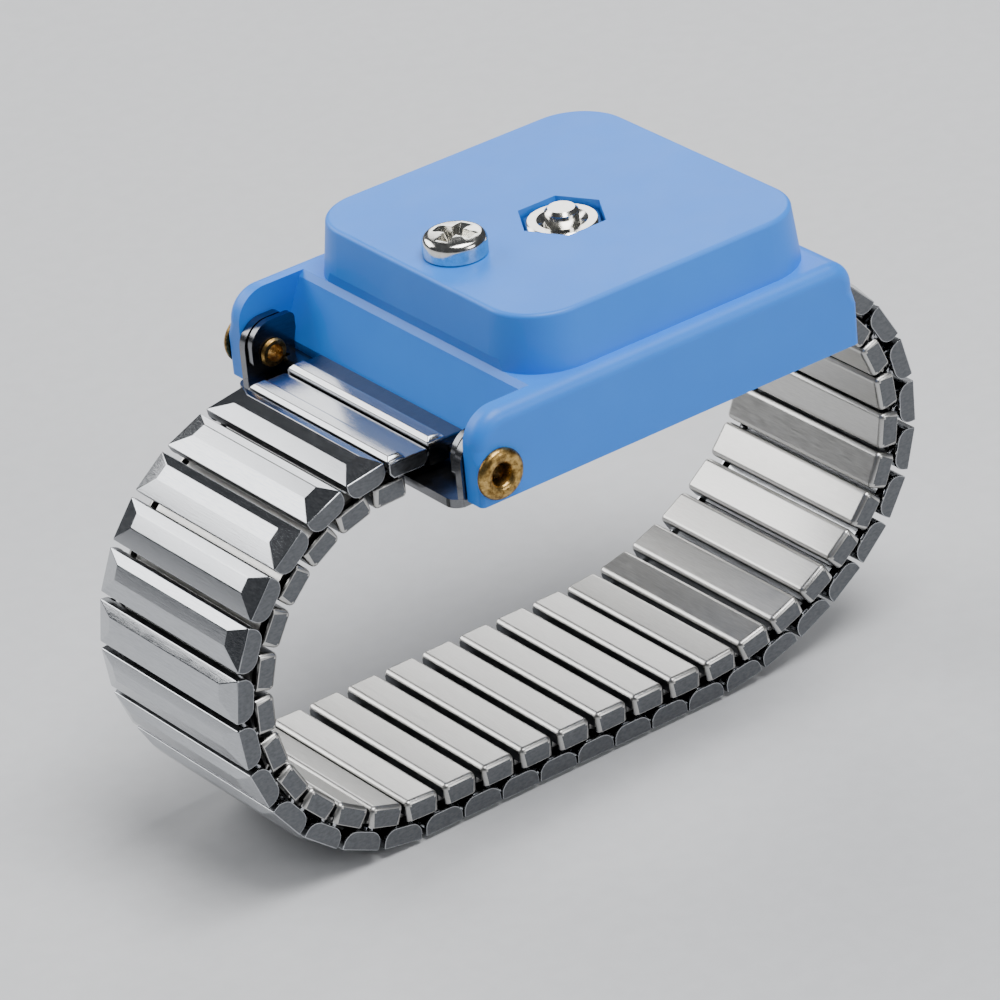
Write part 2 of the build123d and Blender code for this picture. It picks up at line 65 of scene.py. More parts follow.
TONGUE_HALF, TONGUE_DEEP = 6.9, 0.6
OUTER_NOTCH, INNER_NOTCH, LEAN_ROOM = 1.0, 0.6, 0.25
PAST = 0.1                      # a cutting shape reaches this far past the sheet that it cuts

OUTER_BASE = ROW_GAP / 2
OUTER_EDGE = OUTER_BASE + OUTER_SIDE
OUTER_TOP = OUTER_EDGE + OUTER_CROWN
INNER_TOP = -ROW_GAP / 2
INNER_BOTTOM = INNER_TOP - INNER_HEIGHT

# The band's path runs midway between the two rows, from the front bracket under the wrist to
# the back one. A run is its length and its radius of turn; None takes the length that is left.
START = (-20.4, 1.05)
FRONT_TURN, HEEL_TURN, BACK_TURN = 16.15, 28.15, 15.15
RUNS = [(5.6, 0), (math.pi * FRONT_TURN, FRONT_TURN), (None, 0),
        (math.radians(42) * HEEL_TURN, HEEL_TURN), (math.radians(118) * BACK_TURN, BACK_TURN),
        (1.95, 0)]
BAND_LENGTH = (LINKS + 1) * PITCH

# ---- places in the housing's own frame, in millimetres ---------------------------------------
HOUSING_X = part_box("housing")[0].x / MM + 23.0      # its ears start 23 mm from its origin
HOUSING_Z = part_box("housing")[0].z / MM
NUT, SCREW, EYELET = (-0.44, -1.27), (-11.0, -0.3), (-21.0, 2.6)
CAP_TOP = 13.15
NUT_SUNK = 0.3                  # top of the nut below the cap

CREASE = 35                     # degrees: a sharper edge than this stays an edge


def at(x, y, z):
    """A point of the housing's frame in millimetres, as metres in the shared frame."""
    return Vector(((x + HOUSING_X) * MM, y * MM, (z + HOUSING_Z) * MM))


# ---- colour and node helpers -----------------------------------------------------------------
def hex_colour(text, alpha=1.0):
    """sRGB hex to the linear colour that a shader takes."""
    parts = [int(text.lstrip("#")[i:i + 2], 16) / 255 for i in (0, 2, 4)]
    linear = [c / 12.92 if c <= 0.04045 else ((c + 0.055) / 1.055) ** 2.4 for c in parts]
    return (*linear, alpha)


def add(tree, kind, settings=None, links=None):
    """Add a node, set its properties and sockets, and link its inputs from other sockets."""
    node = tree.nodes.new(kind)
    for key, value in (settings or {}).items():
        if isinstance(key, str) and hasattr(node, key):
            setattr(node, key, value)
        else:
            node.inputs[key].default_value = value
    for key, source in (links or {}).items():
        tree.links.new(source, node.inputs[key])
    return node


def new_material(name, base, metallic, roughness, **fixed):
    material = bpy.data.materials.new(name)
    material.use_nodes = True
    tree = material.node_tree
    shader = tree.nodes["Principled BSDF"]
    shader.inputs["Base Color"].default_value = hex_colour(base)
    shader.inputs["Metallic"].default_value = metallic
    shader.inputs["Roughness"].default_value = roughness
    for key, value in fixed.items():
        shader.inputs[key.replace("_", " ")].default_value = value
    return material, tree, shader


def object_coordinates(tree, stretch=(1, 1, 1)):
    place = add(tree, "ShaderNodeTexCoord")
    return add(tree, "ShaderNodeMapping", {"Scale": stretch}, {"Vector": place.outputs["Object"]})


def noise(tree, vector, size_mm, detail=2.0, rough=0.5):
    """Noise whose features are about size_mm across."""
    node = add(tree, "ShaderNodeTexNoise",
               {"Scale": 1.0 / (size_mm * MM), "Detail": detail, "Roughness": rough},
               {"Vector": vector.outputs[0]})
    return node.outputs["Fac"]


def vary_roughness(tree, shader, factor, low, high):
    """Let the pattern's middle range spread the gloss from low to high."""
    spread = add(tree, "ShaderNodeMapRange",
                 {"From Min": 0.3, "From Max": 0.7, "To Min": low, "To Max": high},
                 {"Value": factor})
    tree.links.new(spread.outputs[0], shader.inputs["Roughness"])


def vary_colour(tree, shader, factor, first, second, low=0.35, high=0.65):
    """Let the pattern move the colour from the first tone to the second."""
    ramp = add(tree, "ShaderNodeValToRGB", links={"Fac": factor})
    ends = ramp.color_ramp.elements
    ends[0].position, ends[1].position = low, high
    ends[0].color, ends[1].color = hex_colour(first), hex_colour(second)
    tree.links.new(ramp.outputs["Color"], shader.inputs["Base Color"])


def bump(tree, shader, height, strength, distance_mm):
    node = add(tree, "ShaderNodeBump", {"Strength": strength, "Distance": distance_mm * MM},
               {"Height": height})
    tree.links.new(node.outputs["Normal"], shader.inputs["Normal"])


# ---- materials -------------------------------------------------------------------------------
def moulded_abs():
    """Injection-moulded ABS: even blue, a fine satin grain, and faint flow marks in the gloss."""
    material, tree, shader = new_material("moulded blue ABS", "#2482EC", 0.0, 0.42,
                                          IOR=1.53, Specular_IOR_Level=0.38,
                                          Subsurface_Weight=0.06, Subsurface_Scale=0.002)
    flow_mm, gloss_mm = 9.0, 2.5
    grain_mm = 0.22                 # coarser than the mould's own grain, so that it shows
    where = object_coordinates(tree)
    vary_colour(tree, shader, noise(tree, where, flow_mm, 3.0), "#2280EA", "#2684EE")
    vary_roughness(tree, shader, noise(tree, where, gloss_mm, 4.0), 0.41, 0.45)
    bump(tree, shader, noise(tree, where, grain_mm, 2.0), 0.10, 0.03)
    return material


def steel(name, colour, dark, rough, hairline, streak=(1, 14, 14), swell=0.0):
    """Rolled steel: fine hairlines in tone, gloss and height, with a slow swell if it has one."""
    # Real hairlines are finer still: these are 0.1 mm apart once stretched, so that they show.
    hairline_mm, depth_mm, swell_mm = 1.4, 0.02, 3.0
    material, tree, shader = new_material(name, colour, 1.0, rough[0])
    where = object_coordinates(tree)
    lines = noise(tree, object_coordinates(tree, streak), hairline_mm, 3.0, 0.6)
    vary_colour(tree, shader, lines, dark, colour)
    vary_roughness(tree, shader, lines, *rough)
    height = lines
    if swell:
        height = add(tree, "ShaderNodeMath", {"operation": "MULTIPLY_ADD", 1: swell},
                     {0: noise(tree, where, swell_mm, 1.0), 2: lines}).outputs[0]
    bump(tree, shader, height, hairline, depth_mm)
    return material


def bare_brass():
    """Bare drawn brass: golden, with darker tarnish and a slightly grainy turned surface."""
    material, tree, shader = new_material("bare tarnished brass", "#B08C50", 1.0, 0.35)
    tarnish_mm, grain_mm, depth_mm = 0.5, 0.25, 0.05
    where = object_coordinates(tree)
    patches = noise(tree, where, tarnish_mm, 4.0, 0.65)
    vary_colour(tree, shader, patches, "#6E5328", "#C2A062", 0.38, 0.62)
    vary_roughness(tree, shader, patches, 0.42, 0.24)
    bump(tree, shader, noise(tree, where, grain_mm, 3.0), 0.35, depth_mm)
    return material


def epoxy_coating():
    """Epoxy dip on a resistor's body: glossy tan, slightly mottled."""
    material, tree, shader = new_material("tan epoxy coating", "#C9A877", 0.0, 0.3)
    mottle = noise(tree, object_coordinates(tree), 0.8, 3.0)
    vary_colour(tree, shader, mottle, "#BD9A68", "#D2B283")
    return material


ACROSS = (14, 1, 14)            # stretch that draws the hairlines along the band's width
ABS = moulded_abs()
# Tumbled to a near mirror: clear reflections, a little uneven from facet to facet.
POLISHED = steel("polished stainless links", "#B4B6B9", "#A6A8AB", (0.12, 0.22), 0.12,
                 ACROSS, swell=0.5)
# Worn to a soft sheen by the skin: light, with blurred reflections.
SATIN = steel("satin stainless skin links", "#C6C5C2", "#B8B7B4", (0.28, 0.38), 0.15, ACROSS)
# Dull grey with coarse lines: a darker tone on the end flaps, and painted shade on the walls that
# face the gaps between links.
GAP_SHADE_AND_FLAP_STEEL = steel("darker stainless flaps and painted gap shade", "#6C6E71", "#5C5E61", (0.30, 0.44), 0.6, (3, 1, 6))
# Buffed flat sheet in the housing's shade: its darker tone is painted shade, standing in for the
# shade and the dark surroundings that it mirrors.
SHADE_DARKENED_STEEL = steel("stainless plate with painted shade", "#7A7B7E", "#6A6B6E", (0.16, 0.26), 0.08)
# Hard rolled strip: bright and smooth.
SPRING_STEEL = steel("spring steel strip", "#C8C9CC", "#A9ABAF", (0.16, 0.26), 0.1)
# Barrel-plated turned steel: warm white and bright.
NICKEL = steel("nickel-plated steel", "#E4E2DC", "#CFCDC6", (0.10, 0.22), 0.10, (3, 3, 3))
# Dipped tin: pale and slightly matt.
TINNED = steel("tinned brass tags", "#C9C8C2", "#B4B3AD", (0.30, 0.40), 0.10)
BRASS = bare_brass()
EPOXY = epoxy_coating()


# ---- mesh helpers: built in millimetres, turned to metres once --------------------------------
CORNERS = [(-1, -1), (-1, 1), (1, -1), (1, 1)]


def mesh_object(name, bm, scale=MM):
    bmesh.ops.transform(bm, matrix=Matrix.Scale(scale, 4), verts=bm.verts)
    bmesh.ops.recalc_face_normals(bm, faces=bm.faces)
    mesh = bpy.data.meshes.new(name)
    bm.to_mesh(mesh)
    bm.free()
    piece = bpy.data.objects.new(name, mesh)
    bpy.context.collection.objects.link(piece)
    return piece


def hull(points):
    """The convex solid round some points, with its flat faces in one piece."""
    flat_within = math.radians(0.6)
    bm = bmesh.new()
    for point in points:
        bm.verts.new(point)
    made = bmesh.ops.convex_hull(bm, input=bm.verts)
    loose = [v for v in made["geom_interior"] if isinstance(v, bmesh.types.BMVert)]
    bmesh.ops.delete(bm, geom=loose, context="VERTS")
    bmesh.ops.dissolve_limit(bm, angle_limit=flat_within, verts=bm.verts, edges=bm.edges)
    return bm


def boxes(*corners):
    """Boxes, each given by its lowest and highest corner."""
    bm = bmesh.new()
    for low, high in corners:
        for v in bmesh.ops.create_cube(bm, size=1.0)["verts"]:
            v.co = Vector((a + b) / 2 + (b - a) * p for a, b, p in zip(low, high, v.co))
    return bm


def turned(profile, steps=96, closed=False):
    """A turned solid: radius and height pairs spun about Z."""
    bm = bmesh.new()
    angles = [2 * math.pi * i / steps for i in range(steps)]
    rings = [[bm.verts.new((r * math.cos(a), r * math.sin(a), z)) for a in angles]
             for r, z in profile]
    pairs = list(zip(rings, rings[1:])) + ([(rings[-1], rings[0])] if closed else [])
    for low, high in pairs:
        for i in range(steps):
            j = (i + 1) % steps
            bm.faces.new((low[i], low[j], high[j], high[i]))
    if not closed:
        bm.faces.new(rings[0])
        bm.faces.new(rings[-1])
    return bm


def on_side(side, near, far):
    """Lowest and highest Y of what lies between near and far on one side."""
    return sorted((side * near, side * far))


def evaluated_mesh(piece):
    """A plain mesh of the piece as its modifiers shape it. The modifiers are dropped."""
    bpy.context.view_layer.update()
    depsgraph = bpy.context.evaluated_depsgraph_get()
    mesh = bpy.data.meshes.new_from_object(piece.evaluated_get(depsgraph), depsgraph=depsgraph)
    piece.modifiers.clear()
    return mesh


def baked(piece):
    """The same piece, its mesh as its modifiers shape it."""
    old = piece.data
    piece.data = evaluated_mesh(piece)
    bpy.data.meshes.remove(old)
    return piece


def modify(piece, kind, **settings):
    modifier = piece.modifiers.new(kind.title(), kind)
    for key, value in settings.items():
        setattr(modifier, key, value)
    return piece


def round_edges(piece, width_mm, angle=30):
    return modify(piece, "BEVEL", width=width_mm * MM, segments=2, limit_method="ANGLE",
                  angle_limit=math.radians(angle))


def smooth(piece, angle=CREASE):
    """Smooth shading that keeps creases, with the flat faces holding their own direction."""
    piece.data.polygons.foreach_set("use_smooth", [True] * len(piece.data.polygons))
    piece.data.set_sharp_from_angle(angle=math.radians(angle))
    return baked(modify(piece, "WEIGHTED_NORMAL", keep_sharp=True, weight=60))


def combine(piece, operation, tool):
    """Join the tool to the piece, cut it out or keep what both share, and drop the tool."""
    baked(modify(piece, "BOOLEAN", operation=operation, solver="EXACT", object=tool))
    bpy.data.objects.remove(tool)
    return piece


def cut(piece, name, bm):
    return combine(piece, "DIFFERENCE", mesh_object(name, bm))


# ---- Geometry Nodes: a link set on the band's path -------------------------------------------
def band_point(s):
    """Place and heading on the path at s millimetres from its start."""
    x, z, heading = *START, math.pi
    known = sum(length for length, _ in RUNS if length)
    for length, radius in RUNS:
        length = BAND_LENGTH - known if length is None else length
        step = min(s, length)
        if radius:
            after = heading + step / radius
            x += radius * (math.sin(after) - math.sin(heading))
            z -= radius * (math.cos(after) - math.cos(heading))
            heading = after
        else:
            x += step * math.cos(heading)
            z += step * math.sin(heading)
        s -= step
        if s <= 0:
            break
    return x, z, heading


def path_object():
    """The path as a curve of short chords, for the links to be placed along."""
    chords = 1600
    data = bpy.data.curves.new("band path", "CURVE")
    data.dimensions = "3D"
    line = data.splines.new("POLY")
    line.points.add(chords)
    for i in range(chords + 1):
        x, z, _ = band_point(BAND_LENGTH * i / chords)
        line.points[i].co = (*at(x, 0, z), 1)
    piece = bpy.data.objects.new("band path", data)
    bpy.context.collection.objects.link(piece)
    return piece


def place_tree():
    """Set a link on the band's path at a distance from its start, its Z out of the wrist."""
    tree = bpy.data.node_groups.new("place on the band", "GeometryNodeTree")
    face = tree.interface
    for name, kind in (("Link", "NodeSocketGeometry"), ("Band Path", "NodeSocketObject"),
                       ("Distance Along Band", "NodeSocketFloat"),
                       ("Finish", "NodeSocketMaterial")):
        face.new_socket(name, in_out="INPUT", socket_type=kind)
    face.new_socket("Link", in_out="OUTPUT", socket_type="NodeSocketGeometry")
    given = tree.nodes.new("NodeGroupInput")
    path = add(tree, "GeometryNodeObjectInfo", {"transform_space": "RELATIVE"},
               {"Object": given.outputs["Band Path"]})
    sample = add(tree, "GeometryNodeSampleCurve", {"mode": "LENGTH"},
                 {"Curves": path.outputs["Geometry"],
                  "Length": given.outputs["Distance Along Band"]})
    outwards = add(tree, "ShaderNodeVectorMath", {"operation": "CROSS_PRODUCT", 0: (0, 1, 0)},
                   {1: sample.outputs["Tangent"]})
    turn = add(tree, "FunctionNodeAxesToRotation", {"primary_axis": "X", "secondary_axis": "Z"},
               {"Primary Axis": sample.outputs["Tangent"],
                "Secondary Axis": outwards.outputs["Vector"]})
    point = add(tree, "GeometryNodePoints", {"Count": 1}, {"Position": sample.outputs["Position"]})
    put = add(tree, "GeometryNodeInstanceOnPoints", {},
              {"Points": point.outputs[0], "Instance": given.outputs["Link"],
               "Rotation": turn.outputs["Rotation"]})
    real = add(tree, "GeometryNodeRealizeInstances", {}, {"Geometry": put.outputs[0]})
    finish = add(tree, "GeometryNodeSetMaterial", {},
                 {"Geometry": real.outputs[0], "Material": given.outputs["Finish"]})
    out = tree.nodes.new("NodeGroupOutput")
    tree.links.new(finish.outputs[0], out.inputs[0])
    return tree


PATH = path_object()
PLACE = place_tree()
SOCKETS = {item.name: item.identifier for item in PLACE.interface.items_tree
           if item.in_out == "INPUT"}


def on_band(pattern, distance_mm, name, material):
    """A copy of the pattern piece at that distance along the band, as a plain mesh."""
    piece = bpy.data.objects.new(name, pattern.data)
    bpy.context.collection.objects.link(piece)
    modifier = piece.modifiers.new("place", "NODES")
    modifier.node_group = PLACE
    modifier[SOCKETS["Band Path"]] = PATH
    modifier[SOCKETS["Distance Along Band"]] = distance_mm * MM
    modifier[SOCKETS["Finish"]] = material
    piece.data = evaluated_mesh(piece)
    piece.data.name = name
    return piece


def flap_and_gap_shade_faces(piece, distance_mm):
    """The flaps at both ends take the darker steel, and the side walls that face the gaps between
    links take it as painted shade.
    """
    square, outermost = 0.97, (BAND_HALF - 0.03) * MM
    heading = band_point(distance_mm)[2]
    along = Vector((math.cos(heading), 0, math.sin(heading)))
    piece.data.materials.append(GAP_SHADE_AND_FLAP_STEEL)
    for face in piece.data.polygons:
        flap = abs(face.normal.y) > square and abs(face.center.y) > outermost
        # Walls facing along the band stand in the gaps between links: their darker steel is
        # painted shade.
        if flap or abs(face.normal.dot(along)) > square:
            face.material_index = 1


# ---- link shapes, in a link's own frame: X along the band, Z out of the wrist -----------------
def rounded_foot(half, base, radius, steps=8):
    """Lower corners of a D-shaped section."""
    points = []
    for i in range(steps + 1):
        a = math.pi / 2 * i / steps
        points.append((half - radius + radius * math.cos(a), base + radius - radius * math.sin(a)))
    return points + [(-u, n) for u, n in points]


def hollow(piece, half, low, high, foot_round=0.0):
    """Take the space inside the folded sheet out of a link."""
    reach = BAND_HALF - FLAP
    if foot_round:
        points = [(u, t * reach, n) for u, n in rounded_foot(half, low, foot_round, 4)
                  for t in (1, -1)]
        points += [(s * half, t * reach, high) for s, t in CORNERS]
    else:
        points = [(s * half, t * reach, n) for s, t in CORNERS for n in (low, high)]
    return cut(piece, "space", hull(points))


def notches(piece, half, low, high):
    """The staples pass, and lean, through notches beside both end flaps."""
    sides = [on_side(side, WEB_IN - LEAN_ROOM, BAND_HALF - FLAP) for side in (-1, 1)]
    return cut(piece, "notch", boxes(*(((-half, y0, low), (half, y1, high)) for y0, y1 in sides)))


def outer_notches(piece):
    return notches(piece, OUTER_HALF + PAST, OUTER_BASE - PAST, OUTER_BASE + OUTER_NOTCH)


def tongue_slot(piece, end):
    """A bracket's tongue enters the link through a slot in the wall at that end."""
    u0, u1 = sorted((end * (OUTER_HALF - TONGUE_DEEP), end * (OUTER_HALF + 0.5)))
    return cut(piece, "tongue slot", boxes(((u0, -TONGUE_HALF, OUTER_BASE + SHEET),
                                            (u1, TONGUE_HALF, OUTER_EDGE - 0.35))))


def folded_link(name):
    """Folded cap: three flat facets across, hipped to a D-shaped flap at both ends."""
    profile = [(-OUTER_HALF, OUTER_EDGE), (CROWN_BACK, OUTER_TOP), (CROWN_FRONT, OUTER_TOP),
               (OUTER_HALF, OUTER_EDGE)]
    points = []
    for u, n in profile:
        reach = BAND_HALF - (n - OUTER_EDGE) * HIP / OUTER_CROWN
        points += [(u, reach, n), (u, -reach, n)]
    for u, n in rounded_foot(OUTER_HALF, OUTER_BASE, END_ROUND):
        points += [(u, BAND_HALF, n), (u, -BAND_HALF, n)]
    crisp_mm, shallowest = 0.075, 9          # degrees between the facets
    piece = round_edges(mesh_object(name, hull(points)), crisp_mm, shallowest)
    hollow(piece, OUTER_HALF - SHEET, OUTER_BASE + SHEET, OUTER_EDGE - PAST, END_ROUND - SHEET)
    return outer_notches(piece)


def outer_link():
    return smooth(folded_link("outer link"))


def last_link():
    return smooth(tongue_slot(folded_link("last link"), 1))


def raised_ridge(name, foot, crest, crest_half, flat, step, top):
    """A bar with sloped sides across the band, its foot sunk into the flat sheet under it."""
    return mesh_object(name, hull(
        [(u, t * (BAND_HALF - RIDGE_INSET), n) for n in (flat - RIDGE_SUNK, flat + step)
         for u in foot for t in (-1, 1)]
        + [(u, t * crest_half, flat + top) for u in crest for t in (-1, 1)]))


def first_link():
    """The link at the front bracket: a flat top with one raised ridge across its far half."""
    flat, slope, tuck = OUTER_EDGE - 0.25, 0.35, 0.4
    piece = mesh_object("first link", hull(
        [(s * OUTER_HALF, t * BAND_HALF, n) for s, t in CORNERS
         for n in (OUTER_BASE + END_ROUND * 0.4, flat)]
        + [(s * (OUTER_HALF - tuck), t * BAND_HALF, OUTER_BASE) for s, t in CORNERS]))
    baked(round_edges(piece, 0.12))
    low, high = OUTER_HALF - RIDGE_LENGTH, OUTER_HALF
    ridge = raised_ridge("ridge", (low, high), (low + slope, high - slope), BAND_HALF - 0.55,
                         flat, 0.1, 0.45)
    combine(piece, "UNION", baked(round_edges(ridge, 0.10, angle=12)))
    hollow(piece, OUTER_HALF - SHEET, OUTER_BASE + SHEET, flat - 0.25)
    return smooth(tongue_slot(outer_notches(piece), -1))


def inner_link():
    """Folded box on the skin side, soft along every skin edge."""
    half, radius, steps = INNER_HALF, INNER_ROUND, 4
    lean = radius * 0.29            # the corner's round stands this far off a square one
    quarter = [math.pi / 2 * i / steps for i in range(steps + 1)]
    points = []
    for a in quarter:
        for b in quarter:
            u = half - radius + radius * math.cos(a) * math.cos(b)
            y = BAND_HALF - radius + radius * math.sin(a) * math.cos(b)
            points += [(s * u, t * y, INNER_BOTTOM + radius - radius * math.sin(b))
                       for s, t in CORNERS]
    for in_u, in_y in ((0, radius), (radius, 0), (lean, lean)):
        points += [(s * (half - in_u), t * (BAND_HALF - in_y), INNER_TOP) for s, t in CORNERS]
    piece = round_edges(mesh_object("inner link", hull(points)), 0.08, angle=40)
    hollow(piece, INNER_HALF - SHEET, INNER_BOTTOM + SHEET, INNER_TOP - SHEET)
    return smooth(notches(piece, INNER_HALF + PAST, INNER_TOP - INNER_NOTCH, INNER_TOP + PAST))


def add_bar(bm, foot, head, y0, y1):
    """A flat staple bar from foot to head in the XZ plane, between y0 and y1."""
    verts = [bm.verts.new((u + s * STAPLE_W / 2, y, n + t * STAPLE_T / 2)) for y in (y0, y1)
             for (u, n), s, t in ((foot, -1, -1), (foot, 1, -1), (head, 1, 1), (head, -1, 1))]
    for face in ((0, 1, 2, 3), (7, 6, 5, 4), (0, 4, 5, 1), (1, 5, 6, 2), (2, 6, 7, 3),
                 (3, 7, 4, 0)):
        bm.faces.new([verts[i] for i in face])


def staple_pair(name, foot, head):
    """U-shaped staples at both ends of a link: two legs and the web between them."""
    ends = ((foot, LEG_INNER), (head, LEG_OUTER))
    wide, thick = STAPLE_W / 2, STAPLE_T / 2
    legs = []
    for side in (-1, 1):
        y0, y1 = on_side(side, WEB_IN - STAPLE_LEG, WEB_IN)
        legs += [((u - wide, y0, n - thick), (u + wide, y1, n + thick)) for u, n in ends]
    bm = boxes(*legs)
    for side in (-1, 1):
        add_bar(bm, *ends, *on_side(side, WEB_IN, WEB_OUT))
    return smooth(baked(round_edges(mesh_object(name, bm), 0.05)))


def leaf_spring(low):
    """Thin bowed strip inside a link."""
    steps, half, width, thick, bow = 16, 6.0, 1.1, 0.15, 0.5
    bm = bmesh.new()
    rows = []
    for i in range(steps + 1):
        y = -half + 2 * half * i / steps
        rise = bow * (1 - (y / half) ** 2)
        rows.append([bm.verts.new((u, y, low + rise + t)) for u in (-width, width)
                     for t in (0, thick)])
    for a, b in zip(rows, rows[1:]):
        for i, j in ((0, 1), (1, 3), (3, 2), (2, 0)):
            bm.faces.new((a[i], a[j], b[j], b[i]))
    for row in (rows[0], rows[-1]):
        bm.faces.new((row[0], row[1], row[3], row[2]))
    return smooth(mesh_object("leaf spring", bm))


# ---- the band: every link, staple and spring on the body that carries it ----------------------
def make_band():
    patterns = {
        "outer": outer_link(), "inner": inner_link(), "first": first_link(),
        "last": last_link(), "fixed": staple_pair("fixed staple", 0, 0),
        "sliding": staple_pair("sliding staple", STAPLE_FOOT, PITCH / 2 + STAPLE_HEAD),
        "outer_spring": leaf_spring(OUTER_BASE + SHEET + SPRING_LIFT),
        "inner_spring": leaf_spring(INNER_BOTTOM + SHEET + SPRING_LIFT),
    }

    def put(pattern, s, name, material, slot, body, node):
        piece = on_band(patterns[pattern], s, name, material)
        # Darker end flaps, and painted shade on the walls in the gaps between links.
        if pattern in ("outer", "first", "last", "inner"):
            flap_and_gap_shade_faces(piece, s)
        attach(piece, body)
        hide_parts(node)

    def put_strip(pattern, s, name, body, node):
        put(pattern, s, name, SPRING_STEEL, "spring_steel", body, node)

    for k in range(1, LINKS + 1):
        body, node = f"link_{k:02d}", f"band_link_{k:02d}"
        kind = {1: "first", LINKS: "last"}.get(k, "outer")
        put(kind, k * PITCH, f"outer_link_{k:02d}", POLISHED, "polished_steel", body, node)
        if kind == "outer":
            put_strip("outer_spring", k * PITCH, f"outer_spring_{k:02d}", body, node)
        if k < LINKS:
            put_strip("fixed", (k + FIXED_AT) * PITCH, f"fixed_staples_{k:02d}", body, node)
            if k in HINGED:
                body, node = f"inner_{k:02d}", f"inner_link_{k:02d}"
            s = (k + SKIN_AT) * PITCH
            put("inner", s, f"skin_link_{k:02d}", SATIN, "satin_steel", body, node)
            put_strip("inner_spring", s, f"inner_spring_{k:02d}", body, node)
            if k != OPEN_AFTER:
                put_strip("sliding", s, f"sliding_staples_{k:02d}", body, node)
    for pattern in patterns.values():
        bpy.data.objects.remove(pattern)


# ---- pieces on the housing and the front bracket, each modelled in a frame of its own ---------
def set_on_housing(piece, place, material, body, node):
    """Bake the piece's place into its mesh, then hand it to the body that carries it."""
    piece.data.transform(Matrix.Translation(at(*place)))
    piece.data.materials.clear()
    piece.data.materials.append(material)
    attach(piece, body)
    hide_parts(node)


def bracket_cap():
    """A folded sheet, darkened with painted shade, with a polished ridge along its front."""
    front, back, low, flat = START[0] - OUTER_HALF, -18.75, 2.1, 2.95
    fold_back, fold_low, fold_in = -20.45, 0.95, 0.35
    sheet = mesh_object("cap_sheet", boxes(((front, -BAND_HALF, low), (back, BAND_HALF, flat))))
    baked(round_edges(sheet, 0.14))
    for side in (-1, 1):
        y0, y1 = on_side(side, BAND_HALF - fold_in, BAND_HALF)
        fold = boxes(((front, y0, fold_low), (fold_back, y1, low + 0.3)))
        combine(sheet, "UNION", mesh_object("fold", fold))
    ridge = raised_ridge("cap_ridge", (front + 0.02, front + RIDGE_LENGTH),
                         (front + 0.38, front + RIDGE_LENGTH - 0.38), BAND_HALF - 0.5,
                         flat, 0.06, 0.42)
    round_edges(ridge, 0.08, angle=12)
    # The sheet takes the steel whose darker tone is painted shade; the ridge stays polished.
    for piece, slot, material in ((sheet, "dark_steel", SHADE_DARKENED_STEEL),
                                  (ridge, "polished_steel", POLISHED)):
        set_on_housing(smooth(baked(piece)), (0, 0, 0), material, "front_bracket",
                       "front_bracket_cap")


def pan_head_screw():
    """Pan head with a domed top and a tapered cross recess; the shank goes into the insert."""
    shank, length, head, edge, high, cross_turn = 1.48, 7.6, 2.8, 1.20, 2.1, 0.35
    corner_in, corner_up, chamfer = 0.65, 0.70, 0.12
    profile = [(shank, -length), (shank, 0.0), (head - chamfer, 0.0), (head, chamfer),
               (head, edge)]
    for i in range(1, 9):
        a = math.pi / 2 * i / 8
        profile.append((head - corner_in + corner_in * math.cos(a),
                        edge + corner_up * math.sin(a)))
    profile += [(1.3, high - 0.07), (0.3, high)]
    screw = mesh_object("earthing_screw", turned(profile))
    top, bottom = high + 0.4, high - 1.5
    for turn in (cross_turn, cross_turn + math.pi / 2):
        lean = Matrix.Rotation(turn, 3, "Z")
        wing = [(s * u, t * w, n) for u, w, n in ((2.30, 0.66, top), (0.85, 0.24, bottom))
                for s, t in CORNERS]
        cut(screw, "cross wing", hull([lean @ Vector(p) for p in wing]))
    web = [(r * math.cos(a), r * math.sin(a), n) for r, n in ((0.95, top), (0.35, bottom - 0.1))
           for a in (math.pi * i / 8 for i in range(16))]
    cut(screw, "cross middle", hull(web))
    return smooth(baked(round_edges(screw, 0.06, angle=32)))


def hexagon_nut(across=6.4, high=2.4, bore=1.5):
    """Nut with its corners turned off and a wide mouth to its bore."""
    corner = across / 2 / math.cos(math.pi / 6)
    turned_in, turned_down, mouth = 0.22, 0.42, 0.75
    nut = mesh_object("hexagon_nut", hull([
        (corner * math.cos(a), corner * math.sin(a), z)
        for a in (math.pi / 3 * i for i in range(6)) for z in (0, high)]))
    combine(nut, "INTERSECT", mesh_object("turned corners", turned(
        [(across / 2 - turned_in, -0.01), (corner + 0.02, turned_down),
         (corner + 0.02, high - turned_down), (across / 2 - turned_in, high + 0.01)], 128)))
    cut(nut, "bore", turned(
        [(bore + 0.22, -0.2), (bore, 0.25), (bore, high - 0.40), (bore + mouth, high + 0.01),
         (bore + mouth, high + 0.3)]))
    set_on_housing(smooth(baked(round_edges(nut, 0.05, angle=24)), 24),
                   (*NUT, CAP_TOP - NUT_SUNK - high), NICKEL, "terminal_housing",
                   "stud_nut")


def eyelet(name, side):
    """Rolled brass eyelet: a full round lip outside, the barrel, and the small lip inside."""
    inside, outside, bore, barrel = 13.95, 17.75, 0.8, 1.1
    lip, roll_wide, roll_high = 1.62, 0.66, 0.56
    profile = [(bore, inside - 0.33), (1.15, inside - 0.33), (1.3, inside - 0.1), (1.3, inside),
               (barrel, inside), (barrel, outside), (2.25, outside)]
    for i in range(13):
        a = math.pi * i / 12 - math.pi / 10
        profile.append((lip + roll_wide * math.cos(a),
                        outside + 0.12 + roll_high * max(0.0, math.sin(a))))
    profile += [(0.82, outside - 0.3), (bore, outside - 0.8)]
    piece = mesh_object(name, turned(profile, 72, closed=True))
    piece.data.transform(Matrix.Rotation(-math.pi / 2 * side, 4, "X"))
    set_on_housing(smooth(piece, 30), (EYELET[0], 0, EYELET[1]), BRASS, "terminal_housing",
                   "eyelets")


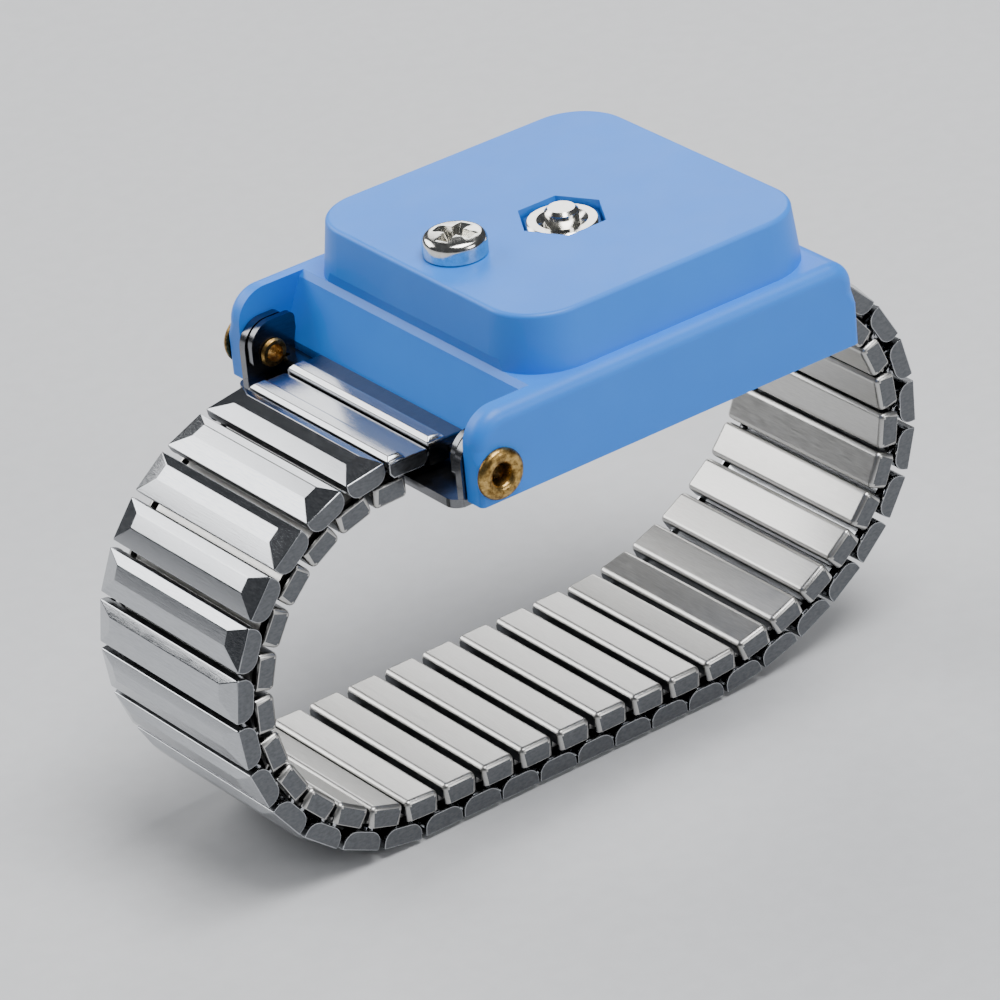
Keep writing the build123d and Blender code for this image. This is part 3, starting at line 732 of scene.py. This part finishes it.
make_band()
set_on_housing(pan_head_screw(), (*SCREW, CAP_TOP), NICKEL, "terminal_housing",
               "discharge_screw")
hexagon_nut()
eyelet("left_eyelet", 1)
eyelet("right_eyelet", -1)
bracket_cap()

# ---- CAD nodes that keep their shape and get a finish -----------------------------------------
# The base plate and the front bracket take the steel whose darker tone is painted shade.
for name, material in {
        "housing": ABS, "base_plate": SHADE_DARKENED_STEEL, "front_bracket": SHADE_DARKENED_STEEL,
        "back_bracket": SATIN, "back_pin": SPRING_STEEL, "ground_stud": NICKEL,
        "screw_insert": BRASS, "solder_tags": TINNED, "one_megohm_resistor": EPOXY}.items():
    NODES[name].data.materials.clear()
    NODES[name].data.materials.append(material)


# ---- floor, lights and camera, in metres ------------------------------------------------------
FLOOR_REACH = 2.5
LIGHT_AIM = (0, 0, 0.03)
SOFTBOXES = {                   # place, width and height, watts
    "back softbox": ((-0.34, 0.80, 0.55), (0.84, 0.50), 7.5),
    "top softbox": ((0.12, -0.22, 1.00), (0.70, 0.55), 15.0),
    "right softbox": ((0.62, 0.80, 0.45), (0.36, 0.40), 1.8),
    "near fill": ((0.40, -0.92, 0.50), (0.45, 0.40), 3.2),
}
CAMERA_AIM, CAMERA_DISTANCE, CAMERA_SIDESTEP = at(-9.1, -0.8, -11.0), 0.5179, 0.000154
CAMERA_ROLL = 0.096             # radians


def make_floor():
    """A pale matt board under the strap."""
    bm = bmesh.new()
    bm.faces.new([bm.verts.new((x * FLOOR_REACH, y * FLOOR_REACH, 0))
                  for x, y in ((-1, -1), (1, -1), (1, 1), (-1, 1))])
    floor = mesh_object("floor", bm, 1.0)
    if floor.data.polygons[0].normal.z < 0:
        floor.data.flip_normals()
    material, tree, shader = new_material("pale matt board", "#C9CACC", 0.0, 0.55)
    fine = noise(tree, object_coordinates(tree), 2.0, 2.0)
    vary_colour(tree, shader, fine, "#C8C9CB", "#CBCCCE")
    floor.data.materials.append(material)


def make_lights():
    for name, (place, size, power) in SOFTBOXES.items():
        data = bpy.data.lights.new(name, "AREA")
        data.shape, data.size, data.size_y, data.energy = "RECTANGLE", *size, power
        light = bpy.data.objects.new(name, data)
        light.location = place
        aim = Vector(LIGHT_AIM) - Vector(place)
        light.rotation_euler = aim.to_track_quat("-Z", "Y").to_euler()
        bpy.context.collection.objects.link(light)
    world = bpy.data.worlds.new("studio")
    bpy.context.scene.world = world
    world.use_nodes = True
    sky = world.node_tree.nodes["Background"]
    sky.inputs["Color"].default_value = hex_colour("#6A6D72")
    sky.inputs["Strength"].default_value = 0.5


def make_camera():
    """A long lens that looks down on the front corner, slightly rolled."""
    data = bpy.data.cameras.new("camera")
    data.lens, data.sensor_width = 217.6, 36.0
    camera = bpy.data.objects.new("camera", data)
    forward = Vector((0.5068, 0.7213, -0.4722)).normalized()
    level = Vector((0.8182, -0.5749, 0.0))
    down = forward.cross(level)
    right = (level * math.cos(CAMERA_ROLL) + down * math.sin(CAMERA_ROLL)).normalized()
    turn = Matrix((right, right.cross(forward), -forward)).transposed()
    place = CAMERA_AIM - forward * CAMERA_DISTANCE - right * CAMERA_SIDESTEP
    camera.matrix_world = Matrix.Translation(place) @ turn.to_4x4()
    bpy.context.collection.objects.link(camera)
    bpy.context.scene.camera = camera


make_floor()
make_camera()
make_lights()
bpy.data.objects.remove(PATH)
